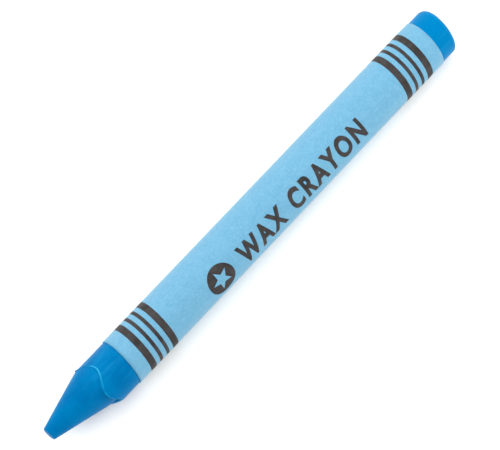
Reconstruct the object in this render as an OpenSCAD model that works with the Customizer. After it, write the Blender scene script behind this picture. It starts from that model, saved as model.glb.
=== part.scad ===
// Wax crayon in a glued paper label, lying on its side. Millimetres.
// The stick lies along X with the nose at -X, and rests on Z = 0 on its label.
// Pieces are modelled upright, nose end at Z = 0, then laid down together.
// Angles run round the stick from its top, towards -Y.

/* [Wax stick] */
// Diameter of the bare wax barrel
stick_d = 8; // [7:0.5:14]
// Length from the nose's flat end to the butt
stick_l = 88; // [80:1:110]
// Radius of the rounded butt edge
butt_edge = 1.1; // [0.3:0.1:1.5]

/* [Nose] */
// Diameter of the nose's flat end, before its edge is rounded
tip_d = 2.2; // [1.6:0.1:3]
// Radius of the flat end's edge
tip_edge = 0.25; // [0.1:0.05:0.4]
// Slope of the nose, from the axis
nose_angle = 14.5; // [12:0.5:16]
// Length of the sloping part
nose_l = 9.8; // [8:0.1:10]
// How far the nose sits off the barrel's axis, as its half of the mould does
nose_shift = 0.36; // [0:0.02:0.36]
// Direction of that shift
nose_shift_at = -77; // [-180:1:180]
// Mean distance of the wavy shoulder from the flat end
shoulder_at = 10.6; // [10.4:0.1:12]
// Height of each wave above and below that mean
wave_h = 1; // [0.8:0.1:1.1]
// Number of waves round the shoulder
waves = 3; // [3:1:3]
// Direction of one crest, which points at the nose
wave_at = 40; // [-60:1:60]

/* [Butt recess] */
// Diameter at the mouth
recess_mouth_d = 2.7; // [2:0.1:3.4]
// Diameter at the bottom
recess_end_d = 1.9; // [1.4:0.1:2]
// Depth
recess_depth = 3.5; // [2:0.5:8]

/* [Label] */
// Distance from the flat end to the label
label_at = 15.5; // [13:0.1:20]
// Length of the label along the stick
label_l = 68.9; // [60:0.1:69]
// Thickness of the paper
paper_t = 0.08; // [0.07:0.01:0.12]
// Thickness of the glue under it
glue_t = 0.03; // [0.02:0.01:0.05]
// Bare paper past the glue at each end
glue_margin = 0.6; // [0.4:0.1:2]
// How far the wrapped sheet sits out of square
wrap_skew = 3.8; // [0:0.1:5]
// Direction that the label's ends lean towards
wrap_skew_at = -77; // [-180:1:180]
// Direction of the sheet's free edge
seam_at = -107; // [-110:1:-100]
// Angle that the sheet overlaps itself
overlap = 42; // [20:1:45]

/* [Print] */
// Depth of the ink in the paper
ink_t = 0.03; // [0.02:0.01:0.04]
// Width of the outer bands of each group
band_thick = 1.15; // [0.8:0.05:1.5]
// Width of the inner bands of each group
band_thin = 0.6; // [0.4:0.05:0.8]
// Gap between bands
band_gap = 0.8; // [0.5:0.05:1]
// Distance from the label's nose end to the first group
tip_margin = 2.4; // [1:0.1:4]
// Distance from the label's butt end to the second group
butt_margin = 2.7; // [1:0.1:4]
// Direction of the middle of the words and the badge
print_at = 47; // [0:1:60]
// Slope of the line of words, out of true with the stick
print_skew = 1.3; // [0:0.1:3]
// Height of the capitals
cap_h = 3.7; // [3:0.1:4]
// Thickness of the letters' strokes
stroke = 0.62; // [0.4:0.02:0.7]
// Gap between letters
letter_gap = 0.42; // [0.3:0.02:0.6]
// Gap between the words
word_gap = 1.3; // [1:0.1:2]
// Distance from the flat end to the first letter
words_at = 38.8; // [36:0.1:44]
// Diameter of the round badge
badge_d = 5; // [4:0.1:5.4]
// Distance from the flat end to the badge's middle
badge_at = 34.5; // [30:0.1:35]
// Radius of the star left clear in the badge
star_r = 1.8; // [1:0.1:2]

/* [Hidden] */
$fn = 96;
stick_r = stick_d / 2;
glue_r = stick_r + glue_t;          // outside of the glue
paper_r = glue_r + paper_t;         // outside of the paper
nose_r = tip_d / 2 + nose_l * tan(nose_angle);
land_l = shoulder_at + 2 * wave_h - nose_l;   // short cylinder behind the nose, rooted in the barrel
hollow_r = 2.7 * wave_h;            // radius of the hollows between the wave's crests
letter_w = 2.5;                     // width of a capital, before its own allowance
far = 3 * stick_d;                  // larger than anything it cuts
bite = 0.5;                         // overlap that makes a cut clean
label_end = label_at + label_l;
group_w = 2 * band_thick + 2 * band_thin + 3 * band_gap;
band_widths = [band_thick, band_thin, band_thin, band_thick];
band_starts = [0, band_thick + band_gap, band_thick + band_thin + 2 * band_gap,
               band_thick + 2 * band_thin + 3 * band_gap];
tip_group = label_at + tip_margin;
butt_group = label_end - butt_margin - group_w;
WAX = [0.02, 0.56, 0.85];
PAPER = [0.51, 0.79, 0.93];
INK = [0.3, 0.28, 0.27];
GLUE = [0.93, 0.92, 0.86];

// lay a piece that was modelled upright on its side
module lay()
    translate([-stick_l / 2, 0, paper_r]) rotate([0, 90, 0]) children();

// point the local +X in a direction round the upright stick
module facing(at) rotate([0, 0, 180 + at]) children();

// everything between two heights, leaning as the wrapped sheet does
module wrap_slab(at, length)
    translate([0, 0, at]) facing(wrap_skew_at) rotate([0, -wrap_skew, 0])
        translate([-far / 2, -far / 2, 0]) cube([far, far, length * cos(wrap_skew)]);

/* ---- wax stick ---- */

// tapering nose with a rounded flat end, and the short land behind it
module nose() {
    edge_y = tip_d / 2 + tip_edge * tan(nose_angle) - tip_edge / cos(nose_angle);
    translate([nose_shift * cos(180 + nose_shift_at), nose_shift * sin(180 + nose_shift_at), 0])
        rotate_extrude() {
            polygon([[0, 0], [edge_y, 0],
                     [edge_y + tip_edge * cos(nose_angle), tip_edge * (1 - sin(nose_angle))],
                     [nose_r, nose_l], [nose_r, nose_l + land_l], [0, nose_l + land_l]]);
            translate([edge_y, tip_edge]) circle(tip_edge);
        }
}

// one hollow of the shoulder's wave: a disc seen from outside the stick
module wave_hollow(at)
    translate([0, 0, shoulder_at + wave_h - hollow_r]) facing(at) translate([0.6 * hollow_r, 0, 0])
        rotate([0, 90, 0]) cylinder(h = far, r = hollow_r);

// barrel with its wavy front
module barrel()
    difference() {
        translate([0, 0, shoulder_at - wave_h]) barrel_blank(stick_l - shoulder_at + wave_h);
        for (k = [0 : waves - 1]) wave_hollow(wave_at + (k + 0.5) * 360 / waves);
    }

// plain cylinder with a rounded butt edge
module barrel_blank(length)
    rotate_extrude() {
        polygon([[0, 0], [stick_r, 0], [stick_r, length - butt_edge],
                 [stick_r - butt_edge, length], [0, length]]);
        translate([stick_r - butt_edge, length - butt_edge]) circle(butt_edge);
    }

module wax_stick()
    color(WAX) lay() difference() {
        union() {
            nose();
            barrel();
        }
        translate([0, 0, stick_l - recess_depth])
            cylinder(h = recess_depth, d1 = recess_end_d, d2 = recess_mouth_d);
        translate([0, 0, stick_l]) cylinder(h = bite, d = recess_mouth_d);
    }

/* ---- label ---- */

module label_glue()
    color(GLUE) lay() intersection() {
        difference() {
            cylinder(h = stick_l, r = glue_r);
            translate([0, 0, -bite]) cylinder(h = stick_l + 2 * bite, r = stick_r);
        }
        wrap_slab(label_at + glue_margin, label_l - 2 * glue_margin);
    }

// outline of the wrapped sheet, with the overlap swelling up to its free edge
module sheet_outline(inset) {
    drop = (2 * paper_r * paper_t + paper_t * paper_t)
         / (2 * (paper_r + paper_t - paper_r * cos(overlap)));
    circle(paper_r - inset);
    intersection() {
        rotate(180 + seam_at) translate([drop, 0]) circle(paper_r + paper_t - drop - inset);
        rotate(180 + seam_at) translate([0, -far]) square(far);
    }
}

// the thin skin of paper that the ink soaks
module ink_skin()
    difference() {
        linear_extrude(stick_l) sheet_outline(0);
        translate([0, 0, -bite]) linear_extrude(stick_l + 2 * bite) sheet_outline(ink_t);
    }

module paper_label()
    color(PAPER) lay() difference() {
        intersection() {
            linear_extrude(stick_l) sheet_outline(0);
            wrap_slab(label_at, label_l);
        }
        translate([0, 0, -bite]) cylinder(h = stick_l + 2 * bite, r = glue_r);
        for (k = [0 : 3]) {
            band_inlay(tip_group, k);
            band_inlay(butt_group, k);
        }
        print_inlay(badge_at) badge_shape();
        print_inlay(words_at) words_shape();
    }

/* ---- printed bands ---- */

module band_inlay(group, k)
    intersection() {
        ink_skin();
        wrap_slab(group + band_starts[k], band_widths[k]);
    }

module band(group, k) color(INK) lay() band_inlay(group, k);

/* ---- printed badge and words ---- */

// a flat outline pressed on the label's skin: X along the stick, Y up the letters
module print_inlay(at)
    intersection() {
        ink_skin();
        translate([0, 0, at]) rotate([0, 0, print_at]) rotate([0, -90, 0])
            rotate([0, 0, print_skew]) linear_extrude(far) children();
    }

module badge_shape()
    difference() {
        circle(d = badge_d);
        polygon([for (k = [0 : 9])
            (k % 2 == 0 ? star_r : star_r * 0.42) * [cos(36 * k + 90), sin(36 * k + 90)]]);
    }

// straight stroke between two points on its middle line
module line(from, to) {
    run = to - from;
    translate(from) rotate(atan2(run[1], run[0]))
        translate([0, -stroke / 2]) square([norm(run), stroke]);
}

// cut anything past the top and bottom of the capitals
module capital() intersection() {
    children();
    translate([-far, -cap_h / 2]) square([2 * far, cap_h]);
}

// upright ring with round ends, as in O
module oval(w, h)
    translate([w / 2, 0]) difference() {
        oval_disc(w, h);
        oval_disc(w - 2 * stroke, h - 2 * stroke);
    }

module oval_disc(w, h) {
    translate([0, (h - w) / 2]) circle(d = w);
    translate([0, (w - h) / 2]) circle(d = w);
    translate([-w / 2, (w - h) / 2]) square([w, h - w]);
}

module letter_w_shape(w) capital() {
    lean = w / 4;
    half = stroke / 2;
    line([half * 0.8, cap_h / 2 + half], [lean + half / 2, -cap_h / 2]);
    line([lean + half / 2, -cap_h / 2], [w / 2, cap_h / 2 - half]);
    line([w / 2, cap_h / 2 - half], [w - lean - half / 2, -cap_h / 2]);
    line([w - lean - half / 2, -cap_h / 2], [w - half * 0.8, cap_h / 2 + half]);
}

module letter_a_shape(w) {
    foot = -cap_h / 2;
    leg = stroke * 1.15;                    // a leg's width, measured level
    rise = cap_h / (w / 2 - stroke / 2);    // slope of the legs
    bar = foot + cap_h * 0.2;               // underside of the crossbar
    bar_x = leg + (bar - foot) / rise;
    eye = bar + stroke * 0.95;              // bottom of the closed triangle
    eye_x = leg + (eye - foot) / rise;
    difference() {
        polygon([[0, foot], [w, foot], [w / 2 + stroke / 2, cap_h / 2], [w / 2 - stroke / 2, cap_h / 2]]);
        polygon([[leg, foot], [w - leg, foot], [w - bar_x, bar], [bar_x, bar]]);
        polygon([[eye_x, eye], [w - eye_x, eye], [w / 2, foot + rise * (w / 2 - leg)]]);
    }
}

module letter_x_shape(w) capital() {
    line([stroke / 4, -cap_h / 2 - stroke / 2], [w - stroke / 4, cap_h / 2 + stroke / 2]);
    line([stroke / 4, cap_h / 2 + stroke / 2], [w - stroke / 4, -cap_h / 2 - stroke / 2]);
}

module letter_c_shape(w)
    difference() {
        oval(w, cap_h);
        translate([w / 2, -cap_h * 0.21]) square([w, cap_h * 0.42]);
    }

module letter_r_shape(w) {
    bowl_h = cap_h * 0.58;
    translate([0, -cap_h / 2]) square([stroke, cap_h]);
    translate([0, cap_h / 2 - bowl_h]) difference() {
        union() {
            square([w - bowl_h / 2, bowl_h]);
            translate([w - bowl_h / 2, bowl_h / 2]) circle(d = bowl_h);
        }
        translate([stroke, stroke]) square([w - bowl_h / 2 - stroke, bowl_h - 2 * stroke]);
        translate([w - bowl_h / 2, bowl_h / 2]) circle(d = bowl_h - 2 * stroke);
    }
    capital() line([w * 0.42, cap_h / 2 - bowl_h + stroke / 2], [w - stroke / 4, -cap_h / 2 - stroke / 2]);
}

module letter_y_shape(w) {
    capital() {
        line([stroke / 4, cap_h / 2 + stroke / 2], [w / 2, 0]);
        line([w - stroke / 4, cap_h / 2 + stroke / 2], [w / 2, 0]);
    }
    translate([w / 2 - stroke / 2, -cap_h / 2]) square([stroke, cap_h / 2 + stroke / 4]);
}

module letter_n_shape(w) {
    translate([0, -cap_h / 2]) square([stroke, cap_h]);
    translate([w - stroke, -cap_h / 2]) square([stroke, cap_h]);
    capital() line([stroke * 0.4, cap_h / 2 + stroke / 4], [w - stroke * 0.4, -cap_h / 2 - stroke / 4]);
}

// each letter's width, and the run of letters with the gap that follows each
widths = [letter_w + 0.9, letter_w + 0.2, letter_w, letter_w, letter_w,
          letter_w + 0.2, letter_w, letter_w + 0.1, letter_w];
gaps = [letter_gap, letter_gap, word_gap, letter_gap, letter_gap,
        letter_gap, letter_gap, letter_gap, 0];
function letter_x(k) = k == 0 ? 0 : letter_x(k - 1) + widths[k - 1] + gaps[k - 1];

module words_shape() {
    translate([letter_x(0), 0]) letter_w_shape(widths[0]);
    translate([letter_x(1), 0]) letter_a_shape(widths[1]);
    translate([letter_x(2), 0]) letter_x_shape(widths[2]);
    translate([letter_x(3), 0]) letter_c_shape(widths[3]);
    translate([letter_x(4), 0]) letter_r_shape(widths[4]);
    translate([letter_x(5), 0]) letter_a_shape(widths[5]);
    translate([letter_x(6), 0]) letter_y_shape(widths[6]);
    translate([letter_x(7), 0]) oval(widths[7], cap_h);
    translate([letter_x(8), 0]) letter_n_shape(widths[8]);
}

module printed_badge() color(INK) lay() print_inlay(badge_at) badge_shape();
module printed_words() color(INK) lay() print_inlay(words_at) words_shape();

wax_stick();
label_glue();
paper_label();
band(tip_group, 0);  // tip_band_1
band(tip_group, 1);  // tip_band_2
band(tip_group, 2);  // tip_band_3
band(tip_group, 3);  // tip_band_4
band(butt_group, 0);  // butt_band_1
band(butt_group, 1);  // butt_band_2
band(butt_group, 2);  // butt_band_3
band(butt_group, 3);  // butt_band_4
printed_badge();
printed_words();
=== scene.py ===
import math
import bmesh
import bpy
from mathutils import Matrix, Vector, noise


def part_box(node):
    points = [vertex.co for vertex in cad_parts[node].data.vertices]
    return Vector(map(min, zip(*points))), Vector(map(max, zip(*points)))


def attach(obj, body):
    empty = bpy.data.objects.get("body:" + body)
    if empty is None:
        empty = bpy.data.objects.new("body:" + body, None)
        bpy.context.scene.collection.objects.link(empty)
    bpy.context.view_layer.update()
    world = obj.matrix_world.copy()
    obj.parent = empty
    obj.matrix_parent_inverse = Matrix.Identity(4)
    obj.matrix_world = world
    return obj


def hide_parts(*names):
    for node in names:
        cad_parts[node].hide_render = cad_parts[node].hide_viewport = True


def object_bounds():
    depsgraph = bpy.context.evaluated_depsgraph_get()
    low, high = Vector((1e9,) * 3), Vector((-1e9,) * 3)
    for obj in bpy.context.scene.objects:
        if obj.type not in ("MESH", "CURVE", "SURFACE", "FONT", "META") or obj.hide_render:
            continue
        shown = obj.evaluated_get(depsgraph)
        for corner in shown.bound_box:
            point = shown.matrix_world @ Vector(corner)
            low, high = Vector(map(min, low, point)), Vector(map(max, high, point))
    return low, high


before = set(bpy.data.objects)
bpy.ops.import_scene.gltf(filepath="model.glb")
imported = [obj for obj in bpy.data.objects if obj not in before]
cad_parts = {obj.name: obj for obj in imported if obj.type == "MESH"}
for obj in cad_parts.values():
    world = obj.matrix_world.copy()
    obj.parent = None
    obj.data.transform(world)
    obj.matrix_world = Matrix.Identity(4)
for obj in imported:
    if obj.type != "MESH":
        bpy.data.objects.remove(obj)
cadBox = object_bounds()
mm = 0.001

# the stick lies along X with its nose at -X; angles run round it from the top towards -Y
stick = {
    "noseEnd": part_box("wax_stick")[0][0] / mm,
    "length": (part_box("wax_stick")[1][0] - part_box("wax_stick")[0][0]) / mm,
    "axisHeight": cadBox[1][2] / 2 / mm,
    "barrelRadius": 4.0,
    "paperRadius": cadBox[1][2] / 2 / mm,  # outside of the label
}
weldGap = 1e-4  # millimetres
fineGap = 1e-5


def alongStick(distance):  # millimetres from the nose end, to a place on X
    return stick["noseEnd"] + distance


def directionAt(angle):
    turn = math.radians(angle)
    return Vector((0, -math.sin(turn), math.cos(turn)))


def angleRound(place):
    return math.degrees(math.atan2(-place.y, place.z))


def distanceOut(place):
    return math.hypot(place.y, place.z)


def smoothStep(low, high, value):
    t = min(max((value - low) / (high - low), 0), 1)
    return t * t * (3 - 2 * t)


def everything(bm):
    return bm.verts[:] + bm.edges[:] + bm.faces[:]


def finishMesh(bm, name, materials, smooth=True):  # from millimetres round the axis to metres in the frame
    bmesh.ops.translate(bm, verts=bm.verts, vec=(0, 0, stick["axisHeight"]))
    bmesh.ops.scale(bm, verts=bm.verts, vec=(mm, mm, mm))
    mesh = bpy.data.meshes.new(name)
    for face in bm.faces:
        face.smooth = smooth
    bm.to_mesh(mesh)
    bm.free()
    piece = bpy.data.objects.new(name, mesh)
    bpy.context.scene.collection.objects.link(piece)
    for material in materials:
        mesh.materials.append(material)
    return piece


# shader parts that the materials share

def newMaterial(name):
    material = bpy.data.materials.new(name)
    material.use_nodes = True
    nodes = material.node_tree.nodes
    return material, nodes, material.node_tree.links, nodes["Principled BSDF"]


def makeMottleGroup():  # soft blotches and a fine grain, as values round 0.5
    group = bpy.data.node_groups.new("mottle", "ShaderNodeTree")
    for socket, value in (("Blotch Scale", 300.0), ("Grain Scale", 3000.0), ("Stretch", 1.0)):
        entry = group.interface.new_socket(socket, in_out="INPUT", socket_type="NodeSocketFloat")
        entry.default_value = value
    for socket in ("Blotches", "Grain"):
        group.interface.new_socket(socket, in_out="OUTPUT", socket_type="NodeSocketFloat")
    nodes, links = group.nodes, group.links
    inward = nodes.new("NodeGroupInput")
    outward = nodes.new("NodeGroupOutput")
    place = nodes.new("ShaderNodeTexCoord")
    squeeze = nodes.new("ShaderNodeCombineXYZ")
    squeeze.inputs["Y"].default_value = 1
    squeeze.inputs["Z"].default_value = 1
    links.new(inward.outputs["Stretch"], squeeze.inputs["X"])
    mapping = nodes.new("ShaderNodeMapping")
    links.new(place.outputs["Object"], mapping.inputs["Vector"])
    links.new(squeeze.outputs["Vector"], mapping.inputs["Scale"])
    for scale, output, detail in (("Blotch Scale", "Blotches", 3.0), ("Grain Scale", "Grain", 5.0)):
        texture = nodes.new("ShaderNodeTexNoise")
        texture.inputs["Detail"].default_value = detail
        texture.inputs["Roughness"].default_value = 0.6
        links.new(mapping.outputs["Vector"], texture.inputs["Vector"])
        links.new(inward.outputs[scale], texture.inputs["Scale"])
        links.new(texture.outputs["Fac"], outward.inputs[output])
    return group


mottleGroup = makeMottleGroup()


def addMottle(nodes, blotch, grain, stretch=1.0):
    node = nodes.new("ShaderNodeGroup")
    node.node_tree = mottleGroup
    node.inputs["Blotch Scale"].default_value = blotch
    node.inputs["Grain Scale"].default_value = grain
    node.inputs["Stretch"].default_value = stretch
    return node


def addPlace(nodes, links):  # the place on the object, split into X, Y and Z
    place = nodes.new("ShaderNodeTexCoord")
    split = nodes.new("ShaderNodeSeparateXYZ")
    links.new(place.outputs["Object"], split.inputs["Vector"])
    return split


def addRamp(nodes, links, source, stops):  # stops are (position, colour)
    ramp = nodes.new("ShaderNodeValToRGB")
    for element, (position, colour) in zip(ramp.color_ramp.elements, stops):
        element.position = position
        element.color = (*colour, 1)
    links.new(source, ramp.inputs["Fac"])
    return ramp.outputs["Color"]


def addMix(nodes, links, factor, base, tint):  # sockets 6 and 7 are the two colours, output 2 their mix
    mix = nodes.new("ShaderNodeMix")
    mix.data_type = "RGBA"
    links.new(factor, mix.inputs["Factor"])
    links.new(base, mix.inputs[6])
    mix.inputs[7].default_value = (*tint, 1)
    return mix.outputs[2]


def addRange(nodes, links, source, low, high, fromLow=0.3, fromHigh=0.7):
    span = nodes.new("ShaderNodeMapRange")
    span.inputs["From Min"].default_value = fromLow
    span.inputs["From Max"].default_value = fromHigh
    span.inputs["To Min"].default_value = low
    span.inputs["To Max"].default_value = high
    links.new(source, span.inputs["Value"])
    return span.outputs["Result"]


def addProduct(nodes, links, first, second):
    product = nodes.new("ShaderNodeMath")
    product.operation = "MULTIPLY"
    links.new(first, product.inputs[0])
    links.new(second, product.inputs[1])
    return product.outputs["Value"]


def addBump(nodes, links, height, distance, strength, below=None):
    bump = nodes.new("ShaderNodeBump")
    bump.inputs["Strength"].default_value = strength
    bump.inputs["Distance"].default_value = distance
    links.new(height, bump.inputs["Height"])
    if below is not None:
        links.new(below, bump.inputs["Normal"])
    return bump.outputs["Normal"]


def makeWax():
    look = {
        "deep": (0.0, 0.132, 0.345),
        "middle": (0.0, 0.163, 0.39),
        "butt": (0.0, 0.185, 0.435),
        "bloom": (0.015, 0.24, 0.49),
        "shine": (0.02, 0.6, 1.0, 1),
        "roughness": (0.32, 0.48),
        "clouds": (260, 2600),
        "streaks": (900, 7000, 0.12),
        "paling": (0, 0.8, -0.03, 0.044),  # paler towards the butt
        "onBarrel": (0.08, 0.45, -0.0345, -0.0325),  # streaks are faint on the nose
    }
    material, nodes, links, shader = newMaterial("blueWax")
    clouds = addMottle(nodes, *look["clouds"])
    streaks = addMottle(nodes, *look["streaks"])
    body = addRamp(nodes, links, clouds.outputs["Blotches"], [(0.35, look["deep"]), (0.65, look["middle"])])
    split = addPlace(nodes, links)
    paling = addRange(nodes, links, split.outputs["X"], *look["paling"])
    paler = addMix(nodes, links, paling, body, look["butt"])
    onBarrel = addRange(nodes, links, split.outputs["X"], *look["onBarrel"])
    streaked = addRange(nodes, links, streaks.outputs["Blotches"], 0, 1, 0.5, 0.72)
    bloom = addProduct(nodes, links, streaked, onBarrel)
    links.new(addMix(nodes, links, bloom, paler, look["bloom"]), shader.inputs["Base Color"])
    roughness = addRange(nodes, links, clouds.outputs["Grain"], *look["roughness"])
    links.new(roughness, shader.inputs["Roughness"])
    shader.inputs["Subsurface Weight"].default_value = 0.1
    shader.inputs["Subsurface Radius"].default_value = (0.1, 0.5, 1.0)
    shader.inputs["Subsurface Scale"].default_value = 0.0005
    shader.inputs["IOR"].default_value = 1.44
    shader.inputs["Specular IOR Level"].default_value = 0.06
    shader.inputs["Specular Tint"].default_value = look["shine"]
    lumps = addBump(nodes, links, clouds.outputs["Blotches"], 0.00008, 0.5)
    drawn = addBump(nodes, links, streaks.outputs["Grain"], 0.00002, 0.4, lumps)
    grained = addBump(nodes, links, clouds.outputs["Grain"], 0.00003, 0.5, drawn)
    links.new(grained, shader.inputs["Normal"])
    return material


def makeCrestHighlight():  # painted highlight: the crest's rounded edge is coloured paler than the wax, and palest on its +Y side, where the key light stands
    # these pale crest colours are painted highlight, patchy from a mottle, not wear of the wax
    look = {
        "plainCrest": (0.0, 0.16, 0.4),
        "paleHighlight": (0.0, 0.24, 0.48),
        "litSideHighlight": (0.03, 0.4, 0.68),
        "highlightAndGrain": (1500, 6000),
        "litSide": (0, 0.75, -0.0008, 0.0009),
    }
    material, nodes, links, shader = newMaterial("crestPaintedHighlight")
    highlightAndGrain = addMottle(nodes, *look["highlightAndGrain"])
    body = addRamp(nodes, links, highlightAndGrain.outputs["Blotches"], [(0.35, look["plainCrest"]), (0.55, look["paleHighlight"])])
    # painted highlight: paler towards +Y, the side lit by the key light
    litSide = addRange(nodes, links, addPlace(nodes, links).outputs["Y"], *look["litSide"])
    links.new(addMix(nodes, links, litSide, body, look["litSideHighlight"]), shader.inputs["Base Color"])
    shader.inputs["Roughness"].default_value = 0.4
    shader.inputs["Specular IOR Level"].default_value = 0.06
    links.new(addBump(nodes, links, highlightAndGrain.outputs["Grain"], 0.00002, 0.4), shader.inputs["Normal"])
    return material


def makeScuffed():  # the butt face is dusty and turned with fine rings
    look = {
        "clean": (0.01, 0.16, 0.4),
        "dusty": (0.07, 0.23, 0.42),
        "ring": (0.13, 0.29, 0.46),
        "dust": (420, 4200),
        "ringScale": 620,
    }
    material, nodes, links, shader = newMaterial("scuffedWax")
    dust = addMottle(nodes, *look["dust"])
    place = nodes.new("ShaderNodeTexCoord")
    centre = nodes.new("ShaderNodeMapping")
    centre.inputs["Location"].default_value = (0, 0, -stick["axisHeight"] * mm)
    links.new(place.outputs["Object"], centre.inputs["Vector"])
    rings = nodes.new("ShaderNodeTexWave")
    rings.wave_type = "RINGS"
    rings.rings_direction = "X"
    rings.inputs["Scale"].default_value = look["ringScale"]
    rings.inputs["Distortion"].default_value = 2.5
    rings.inputs["Detail"].default_value = 3
    links.new(centre.outputs["Vector"], rings.inputs["Vector"])
    body = addRamp(nodes, links, dust.outputs["Blotches"], [(0.38, look["clean"]), (0.62, look["dusty"])])
    raised = addRange(nodes, links, rings.outputs["Fac"], 0, 0.6, 0.55, 1)
    dusted = addRange(nodes, links, dust.outputs["Blotches"], 0, 1, 0.42, 0.6)
    faint = addProduct(nodes, links, raised, dusted)
    links.new(addMix(nodes, links, faint, body, look["ring"]), shader.inputs["Base Color"])
    shader.inputs["Roughness"].default_value = 0.6
    shader.inputs["Specular IOR Level"].default_value = 0.2
    grooves = addBump(nodes, links, rings.outputs["Fac"], 0.00002, 0.3)
    links.new(addBump(nodes, links, dust.outputs["Grain"], 0.00003, 0.5, grooves), shader.inputs["Normal"])
    return material


def makePaper():
    look = {
        "dark": (0.103, 0.322, 0.492),
        "light": (0.121, 0.348, 0.518),
        "fibre": (0.23, 0.45, 0.6),
        "roughness": (0.55, 0.7),
        "pulp": (900, 5200),
        "fibres": (3200, 9000, 0.8),
    }
    material, nodes, links, shader = newMaterial("labelPaper")
    pulp = addMottle(nodes, *look["pulp"])
    fibres = addMottle(nodes, *look["fibres"])
    body = addRamp(nodes, links, pulp.outputs["Blotches"], [(0.34, look["dark"]), (0.66, look["light"])])
    speck = addRange(nodes, links, fibres.outputs["Blotches"], 0, 0.36, 0.46, 0.7)
    links.new(addMix(nodes, links, speck, body, look["fibre"]), shader.inputs["Base Color"])
    roughness = addRange(nodes, links, pulp.outputs["Grain"], *look["roughness"])
    links.new(roughness, shader.inputs["Roughness"])
    shader.inputs["Specular IOR Level"].default_value = 0.35
    shader.inputs["Sheen Weight"].default_value = 0.15
    waves = addBump(nodes, links, pulp.outputs["Blotches"], 0.00006, 0.5)
    links.new(addBump(nodes, links, fibres.outputs["Grain"], 0.00003, 0.6, waves), shader.inputs["Normal"])
    return material


def makeInk():
    look = {
        "dense": (0.022, 0.019, 0.019),
        "thin": (0.05, 0.044, 0.044),
        "roughness": (0.5, 0.7),
        "lay": (700, 6000),
    }
    material, nodes, links, shader = newMaterial("printedInk")
    lay = addMottle(nodes, *look["lay"])
    body = addRamp(nodes, links, lay.outputs["Blotches"], [(0.35, look["dense"]), (0.68, look["thin"])])
    links.new(body, shader.inputs["Base Color"])
    roughness = addRange(nodes, links, lay.outputs["Grain"], *look["roughness"])
    links.new(roughness, shader.inputs["Roughness"])
    shader.inputs["Specular IOR Level"].default_value = 0.2
    links.new(addBump(nodes, links, lay.outputs["Grain"], 0.00002, 0.5), shader.inputs["Normal"])
    return material


def makePaste():
    look = {
        "damp": (0.42, 0.38, 0.31),
        "dry": (0.58, 0.55, 0.48),
        "roughness": (0.35, 0.6),
        "lay": (800, 5000),
    }
    material, nodes, links, shader = newMaterial("driedPaste")
    lay = addMottle(nodes, *look["lay"])
    body = addRamp(nodes, links, lay.outputs["Blotches"], [(0.3, look["damp"]), (0.7, look["dry"])])
    links.new(body, shader.inputs["Base Color"])
    roughness = addRange(nodes, links, lay.outputs["Grain"], *look["roughness"])
    links.new(roughness, shader.inputs["Roughness"])
    return material


waxFinish = makeWax()
crestHighlightFinish = makeCrestHighlight()
scuffedFinish = makeScuffed()
paperFinish = makePaper()
inkFinish = makeInk()
print("materials ready")

wax = {
    "tipRadius": 1.1, "tipEdge": 0.23,
    "noseSlope": math.tan(math.radians(14.5)), "noseLength": 9.8, "noseBlend": 0.1225,
    "noseShift": 0.44, "noseShiftAt": -77,
    "shoulder": 10.4, "shoulderRun": 0.16, "shoulderEdge": 0.1, "crestEdge": 0.13,
    "waves": 3, "waveHeight": 0.9, "waveAt": 40, "waveGrows": (7.5, 9.9), "waveFades": (11.2, 14.5),
    "waveReach": 20, "slack": 0.05,
    "buttEdge": 1.1, "buttLean": 7.0, "buttLeanAt": -77, "buttLeanReach": 3, "unevenEdge": 0.2,
    "faceDepth": 1.2, "faceNormal": 0.75,
    "mouthRadius": 1.35, "mouthEdge": 0.16, "recessRadius": 0.95, "recessEdge": 0.12, "recessDepth": 3.5,
    "waver": 0.02, "waverScale": 0.35,
    "steps": 168,
    "cuts": [0.6, 1.2, 2, 3, 4, 5, 6, 7, 7.8, 8.4, 8.8, 9.2, 9.5, 9.8, 10.1, 10.35, 11.3, 11.7, 12.2, 12.8,
             13.5, 14.3, 15.2, 16, 20, 30, 45, 60, 75, 84, 85, 86],
}


def noseRadiusAt(distance):  # the tapering nose runs softly into its short land
    cone = wax["tipRadius"] + distance * wax["noseSlope"]
    land = wax["tipRadius"] + wax["noseLength"] * wax["noseSlope"]
    gap = cone - land
    return land + (gap - math.hypot(gap, wax["noseBlend"])) / 2


landRadius = noseRadiusAt(wax["shoulder"])
crestAt = wax["shoulder"] + wax["shoulderRun"]
recessEnd = stick["length"] - wax["recessDepth"]


def turnProfile():  # half the outline, from the nose end to the bottom of the recess, turned full circle
    corners = [(0, 0), (0, wax["tipRadius"]), (wax["noseLength"], landRadius), (wax["shoulder"], landRadius),
               (crestAt, stick["barrelRadius"]), (stick["length"], stick["barrelRadius"]),
               (stick["length"], wax["mouthRadius"]), (recessEnd, wax["recessRadius"]), (recessEnd, 0)]
    bm = bmesh.new()
    last = None
    for along, radius in corners:
        vert = bm.verts.new((alongStick(along), 0, radius))
        if last:
            bm.edges.new((last, vert))
        last = vert
    bmesh.ops.spin(bm, geom=bm.verts[:] + bm.edges[:], cent=(0, 0, 0), axis=(1, 0, 0), dvec=(0, 0, 0),
                   angle=math.tau, steps=wax["steps"], use_merge=True, use_duplicate=False)
    bmesh.ops.remove_doubles(bm, verts=bm.verts, dist=weldGap)
    return bm


def loopEdges(bm, along, radius):  # the edge loop of one profile corner
    found = []
    for edge in bm.edges:
        if all(abs(vert.co.x - along) < weldGap and abs(distanceOut(vert.co) - radius) < weldGap
               for vert in edge.verts):
            found.append(edge)
    return found


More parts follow.
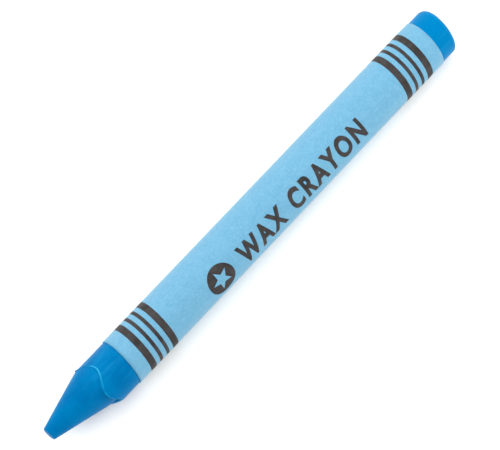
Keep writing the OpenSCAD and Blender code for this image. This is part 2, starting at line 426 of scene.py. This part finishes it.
def roundCorners(bm):  # the crest's rounding takes the second material, which paints a highlight on it
    rounds = [(0, wax["tipRadius"], wax["tipEdge"], 5, -1),
              (wax["shoulder"], landRadius, wax["shoulderEdge"], 3, -1),
              (crestAt, stick["barrelRadius"], wax["crestEdge"], 4, 1),
              (stick["length"], stick["barrelRadius"], wax["buttEdge"], 10, -1),
              (stick["length"], wax["mouthRadius"], wax["mouthEdge"], 4, -1),
              (recessEnd, wax["recessRadius"], wax["recessEdge"], 3, -1)]
    for along, radius, amount, segments, material in rounds:
        edges = loopEdges(bm, alongStick(along), radius)
        bmesh.ops.bevel(bm, geom=edges, offset=amount, offset_type="OFFSET", segments=segments, profile=0.5,
                        affect="EDGES", material=material)


def waveShoulder(bm):  # the wave slides the shoulder along the nose and the barrel
    shift = directionAt(wax["noseShiftAt"]) * wax["noseShift"]
    for vert in bm.verts:
        along = vert.co.x - alongStick(0)
        if along > wax["waveReach"]:
            continue
        radius = distanceOut(vert.co)
        onNose = 1 < along < wax["shoulder"] + wax["slack"] and 0.01 < radius < landRadius + wax["slack"]
        fade = smoothStep(*wax["waveGrows"], along) * (1 - smoothStep(*wax["waveFades"], along))
        turn = math.radians(wax["waves"] * (angleRound(vert.co) - wax["waveAt"]))
        moved = along - wax["waveHeight"] * fade * math.cos(turn)
        vert.co.x = alongStick(moved)
        if onNose:
            grown = noseRadiusAt(moved) / radius
            vert.co.y *= grown
            vert.co.z *= grown
        vert.co += shift * (1 - smoothStep(wax["shoulder"] + 0.02, crestAt, along))


def leanButt(bm):  # the butt end leans a little and is rounder on its high side
    flatRadius = stick["barrelRadius"] - wax["buttEdge"]
    slope = math.tan(math.radians(wax["buttLean"]))
    for vert in bm.verts:
        back = alongStick(stick["length"]) - vert.co.x
        radius = distanceOut(vert.co)
        high = math.cos(math.radians(angleRound(vert.co) - wax["buttLeanAt"]))
        if back < wax["buttEdge"] + 0.01 and radius > flatRadius - 0.01:
            grown = 1 + wax["unevenEdge"] * high
            thinner = stick["barrelRadius"] - (stick["barrelRadius"] - radius) * grown
            vert.co = Vector((alongStick(stick["length"]) - back * grown, vert.co.y * thinner / radius,
                              vert.co.z * thinner / radius))
            radius = thinner
        vert.co.x -= slope * (flatRadius - radius * high) * (1 - smoothStep(0, wax["buttLeanReach"], back))


def waverSurface(bm):  # moulded wax is never quite true
    for vert in bm.verts:
        off = noise.noise(vert.co * wax["waverScale"]) * wax["waver"]
        radius = distanceOut(vert.co)
        if radius > 0.5:
            vert.co.y *= 1 + off / radius
            vert.co.z *= 1 + off / radius


def makeWaxStick():
    bm = turnProfile()
    roundCorners(bm)
    for along in wax["cuts"]:
        bmesh.ops.bisect_plane(bm, geom=everything(bm), plane_co=(alongStick(along), 0, 0),
                               plane_no=(1, 0, 0), dist=fineGap)
    waveShoulder(bm)
    leanButt(bm)
    waverSurface(bm)
    bmesh.ops.recalc_face_normals(bm, faces=bm.faces)
    faceFrom = alongStick(stick["length"] - wax["faceDepth"])
    for face in bm.faces:  # the flat of the butt round the recess
        if face.normal.x > wax["faceNormal"] and face.calc_center_median().x > faceFrom:
            face.material_index = 2
    # the second material paints a highlight on the crest
    piece = finishMesh(bm, "waxStick", [waxFinish, crestHighlightFinish, scuffedFinish])
    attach(piece, "root")
    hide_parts("wax_stick")


makeWaxStick()
print("wax stick made")

label = {
    "start": 15.35, "length": 68.75, "thickness": 0.08, "glueRadius": 4.03,
    "skew": 3.8, "skewAt": -77,
    "innerEnd": -149, "overlap": 42, "ramp": 12, "looseness": 1.02,
    "wander": 0.02,
    "around": 240, "along": 140,
}


def sheetRadiusAt(angle):  # inside of the wrapped sheet, which climbs over its own inner end
    climb = smoothStep(label["innerEnd"] + 360 - label["ramp"], label["innerEnd"] + 360, angle)
    return label["glueRadius"] + label["thickness"] * label["looseness"] * climb


def wrapOn(bm, middleAt, lift, skew):  # a flat sheet's Y runs up the stick's turn and its Z is its height
    for vert in bm.verts:
        angle = middleAt - math.degrees(vert.co.y / stick["paperRadius"])
        radius = sheetRadiusAt(angle) + lift + vert.co.z
        lean = math.tan(math.radians(skew)) * radius * math.cos(math.radians(angle - label["skewAt"]))
        vert.co = Vector((alongStick(vert.co.x) + lean, 0, 0)) + directionAt(angle) * radius


def layGrid(start, length, sweep, along, around):  # flat cells for a sheet that turns through a sweep
    bm = bmesh.new()
    bmesh.ops.create_grid(bm, x_segments=along, y_segments=around, size=0.5)
    bmesh.ops.scale(bm, verts=bm.verts, vec=(length, math.radians(sweep) * stick["paperRadius"], 1))
    bmesh.ops.translate(bm, verts=bm.verts, vec=(start + length / 2, 0, 0))
    return bm


def giveThickness(bm, thickness):
    bmesh.ops.solidify(bm, geom=everything(bm), thickness=-thickness)
    low = min(vert.co.z for vert in bm.verts)
    for vert in bm.verts:
        vert.co.z -= low


def makeLabel():
    sweep = 360 + label["overlap"]
    bm = layGrid(label["start"], label["length"], sweep, label["along"], label["around"])
    half = label["length"] / 2
    for vert in bm.verts:  # the guillotined ends wander a little
        if abs(vert.co.x - label["start"] - half) > half - 0.01:
            vert.co.x += noise.noise(Vector((vert.co.x, vert.co.y * 0.5, 3))) * label["wander"]
    giveThickness(bm, label["thickness"])
    wrapOn(bm, label["innerEnd"] + sweep / 2, 0, label["skew"])
    bmesh.ops.recalc_face_normals(bm, faces=bm.faces)
    piece = finishMesh(bm, "paperLabel", [paperFinish])
    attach(piece, "root")
    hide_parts("paper_label")


makeLabel()
print("label wrapped")

printing = {
    "lift": 0.003, "ink": 0.009,
    "thick": 1.15, "thin": 0.6, "gap": 0.8, "tipMargin": 2.4, "buttMargin": 2.55,
    "bandSweep": 358.5, "creep": 0.015,
    "words": "WAX CRAYON", "wordsAt": 38.65, "wordsLength": 28.0, "capHeight": 3.75,
    "weight": 0.044, "spacing": 1.28,
    "badgeAt": 34.35, "badgeRadius": 2.5, "starRadius": 1.8, "starInner": 0.42,
    "middleAt": 47, "slope": 1.3, "cutStep": 0.15,
}


def bandPlaces():  # each group runs thick, thin, thin, thick
    widths = [printing["thick"], printing["thin"], printing["thin"], printing["thick"]]
    group = sum(widths) + 3 * printing["gap"]
    starts = {"tip": label["start"] + printing["tipMargin"],
              "butt": label["start"] + label["length"] - printing["buttMargin"] - group}
    for end, along in starts.items():
        for index, width in enumerate(widths):
            yield f"{end}Band{index + 1}", f"{end}_band_{index + 1}", along, width
            along += width + printing["gap"]


def printOn(bm, name, node, middleAt, skew):
    wrapOn(bm, middleAt, label["thickness"] + printing["lift"], skew)
    bmesh.ops.recalc_face_normals(bm, faces=bm.faces)
    piece = finishMesh(bm, name, [inkFinish], smooth=False)
    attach(piece, "root")
    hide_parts(node)


def makeBand(name, node, along, width):
    sweep = printing["bandSweep"]
    bm = layGrid(along, width, sweep, 4, label["around"])
    for vert in bm.verts:  # ink creeps along the fibres at its edges
        side = (vert.co.x - along - width / 2) / (width / 2)
        creep = noise.noise(Vector((along + side, vert.co.y * 2.6, 9))) * printing["creep"]
        vert.co.x += side * creep
    giveThickness(bm, printing["ink"])
    printOn(bm, name, node, label["innerEnd"] + 360 + label["overlap"] - sweep / 2, label["skew"])


def cutAcross(bm, low, high):  # a bend needs an edge every step
    place = low
    while place < high:
        bmesh.ops.bisect_plane(bm, geom=everything(bm), plane_co=(0, place, 0),
                               plane_no=(0, 1, 0), dist=fineGap)
        place += printing["cutStep"]


def turnFlat(bm, verts, degrees):
    bmesh.ops.rotate(bm, verts=verts, cent=(0, 0, 0), matrix=Matrix.Rotation(math.radians(degrees), 3, "Z"))


def pressOn(bm, name, node, along):  # slopes, places and thickens a flat outline before it is wrapped
    turnFlat(bm, bm.verts, printing["slope"])
    bmesh.ops.translate(bm, verts=bm.verts, vec=(along, 0, 0))
    raised = bmesh.ops.extrude_face_region(bm, geom=bm.faces[:])["geom"]
    bmesh.ops.translate(bm, verts=[v for v in raised if isinstance(v, bmesh.types.BMVert)],
                        vec=(0, 0, printing["ink"]))
    printOn(bm, name, node, printing["middleAt"], 0)


def makeWords():
    curve = bpy.data.curves.new("words", "FONT")
    curve.body = printing["words"]
    curve.resolution_u = 12
    curve.offset = printing["weight"]
    curve.space_character = printing["spacing"]
    holder = bpy.data.objects.new("wordsHolder", curve)
    bpy.context.scene.collection.objects.link(holder)
    bpy.context.view_layer.update()
    flat = bpy.data.meshes.new_from_object(holder.evaluated_get(bpy.context.evaluated_depsgraph_get()))
    bpy.data.objects.remove(holder)
    bm = bmesh.new()
    bm.from_mesh(flat)
    bpy.data.meshes.remove(flat)
    bmesh.ops.remove_doubles(bm, verts=bm.verts, dist=fineGap)
    left, right = min(v.co.x for v in bm.verts), max(v.co.x for v in bm.verts)
    foot, top = min(v.co.y for v in bm.verts), max(v.co.y for v in bm.verts)
    bmesh.ops.translate(bm, verts=bm.verts, vec=(-left, -(foot + top) / 2, 0))
    bmesh.ops.scale(bm, verts=bm.verts, vec=(printing["wordsLength"] / (right - left),
                                             printing["capHeight"] / (top - foot), 1))
    cutAcross(bm, -2, 2)
    pressOn(bm, "printedWords", "printed_words", printing["wordsAt"])


def makeBadge():  # a plain disc with a star left clear
    bm = bmesh.new()
    bmesh.ops.create_circle(bm, segments=72, radius=printing["badgeRadius"])
    star = bmesh.ops.create_circle(bm, segments=10, radius=printing["starRadius"])["verts"]
    turnFlat(bm, star, 18)
    bmesh.ops.scale(bm, verts=star[1::2], vec=(printing["starInner"], printing["starInner"], 1))
    bmesh.ops.triangle_fill(bm, edges=bm.edges[:], use_beauty=True)
    cutAcross(bm, -2.4, printing["badgeRadius"])
    pressOn(bm, "printedBadge", "printed_badge", printing["badgeAt"])


for name, node, along, width in bandPlaces():
    makeBand(name, node, along, width)
makeWords()
makeBadge()
print("printing done")

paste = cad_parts["label_glue"]
paste.data.materials.clear()
paste.data.materials.append(makePaste())

studio = {
    "lights": [("keyLight", (0.02, 0.62, 0.42), 0.4, 2.4),  # name, place, size, power
               ("topLight", (-0.15, 0.05, 0.8), 0.7, 2.0),
               ("endLight", (0.17, -0.12, 0.15), 0.14, 0.24)],
    "surround": 0.87,
    "floorSize": 3, "floorColour": (0.99, 0.975, 0.95, 1),
    "cameraPlace": (-0.10829, -0.09750, 0.43305), "azimuth": -47.97, "elevation": 71.2,
    "lens": 216, "sensor": 36,
}


def makeFloor():
    bm = bmesh.new()
    bmesh.ops.create_grid(bm, x_segments=1, y_segments=1, size=studio["floorSize"])
    mesh = bpy.data.meshes.new("floor")
    bm.to_mesh(mesh)
    bm.free()
    floor = bpy.data.objects.new("floor", mesh)
    bpy.context.scene.collection.objects.link(floor)
    material, nodes, links, shader = newMaterial("paleFloor")
    shader.inputs["Base Color"].default_value = studio["floorColour"]
    shader.inputs["Roughness"].default_value = 0.9
    shader.inputs["Specular IOR Level"].default_value = 0.1
    mesh.materials.append(material)


def makeLight(name, place, size, power):  # aimed at the frame's origin
    light = bpy.data.lights.new(name, "AREA")
    light.shape = "DISK"
    light.size = size
    light.energy = power
    lamp = bpy.data.objects.new(name, light)
    bpy.context.scene.collection.objects.link(lamp)
    lamp.location = place
    lamp.rotation_euler = (-Vector(place)).to_track_quat("-Z", "Y").to_euler()


def makeSurround():
    world = bpy.data.worlds.new("studio")
    world.use_nodes = True
    background = world.node_tree.nodes["Background"]
    background.inputs["Color"].default_value = (1, 1, 1, 1)
    background.inputs["Strength"].default_value = studio["surround"]
    bpy.context.scene.world = world
    bpy.context.scene.view_settings.view_transform = "Standard"


def makeCamera():
    data = bpy.data.cameras.new("camera")
    data.lens = studio["lens"]
    data.sensor_width = studio["sensor"]
    data.clip_start = 0.01
    camera = bpy.data.objects.new("camera", data)
    bpy.context.scene.collection.objects.link(camera)
    camera.location = studio["cameraPlace"]
    camera.rotation_euler = (math.radians(90 - studio["elevation"]), 0, math.radians(studio["azimuth"]))
    bpy.context.scene.camera = camera


makeFloor()
for light in studio["lights"]:
    makeLight(*light)
makeSurround()
makeCamera()
print("studio ready")
